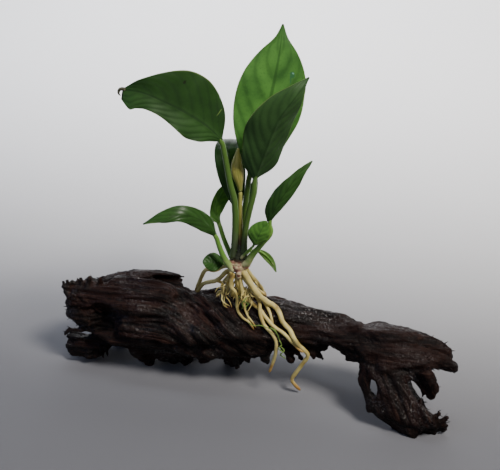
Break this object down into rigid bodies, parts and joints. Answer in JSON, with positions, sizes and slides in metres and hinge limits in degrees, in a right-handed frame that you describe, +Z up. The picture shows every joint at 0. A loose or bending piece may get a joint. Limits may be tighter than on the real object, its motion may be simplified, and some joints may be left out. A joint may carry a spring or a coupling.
{
  "type": "anubias plant on driftwood",
  "caption": "Broad-leaved aquarium plant whose roots grip a long, ragged piece of dark driftwood that stands on its feet and a bent leg.",
  "frame": {"origin": "on the floor, at the middle of the base of the whole object's box", "axes": "+X along the driftwood towards its forked end, +Z up, -Y towards the viewer of the picture"},
  "size_m": [0.215, 0.0625, 0.192],
  "materials": {
    "wet_driftwood": "dark, wet, coarse grain",
    "leaf_green": "waxy satin, living leaf",
    "dark_leaf": "waxy satin, living leaf",
    "stalk_green": "smooth living stalk",
    "root_cream": "dull living root",
    "crown_pink": "dull living rhizome",
    "bud_tan": "smooth closed flower"
  },
  "bodies": {
    "root": {"driftwood_trunk": "wet_driftwood", "driftwood_upper_fork": "wet_driftwood", "driftwood_leg": "wet_driftwood", "crown": "crown_pink", "leaf_tall": "leaf_green", "leaf_front": "dark_leaf", "leaf_broad": "dark_leaf", "leaf_back": "dark_leaf", "leaf_small_upright": "leaf_green", "leaf_left_lance": "leaf_green", "leaf_right_lance": "leaf_green", "leaf_oval": "leaf_green", "leaf_drooping": "leaf_green", "leaf_round": "leaf_green", "leaf_inner": "dark_leaf", "stalk_broad": "stalk_green", "stalk_tall": "stalk_green", "stalk_front": "stalk_green", "stalk_back": "stalk_green", "stalk_inner": "stalk_green", "stalk_left_lance": "stalk_green", "stalk_small_upright": "stalk_green", "stalk_right_lance": "stalk_green", "stalk_oval": "stalk_green", "stalk_drooping": "stalk_green", "stalk_round": "stalk_green", "stalk_flower": "stalk_green", "flower_bud": "bud_tan", "root_long": "root_cream", "root_second": "root_cream", "root_hanging": "root_cream", "root_slant": "root_cream", "root_short_left": "root_cream", "root_front": "root_cream", "root_thin": "root_cream", "root_left_low": "root_cream", "root_left_high": "root_cream", "root_left_branch": "root_cream", "root_curled": "root_cream", "root_middle": "root_cream", "root_right": "root_cream", "root_back_right": "root_cream", "root_back_left": "root_cream", "root_back": "root_cream"}
  },
  "joints": []
}
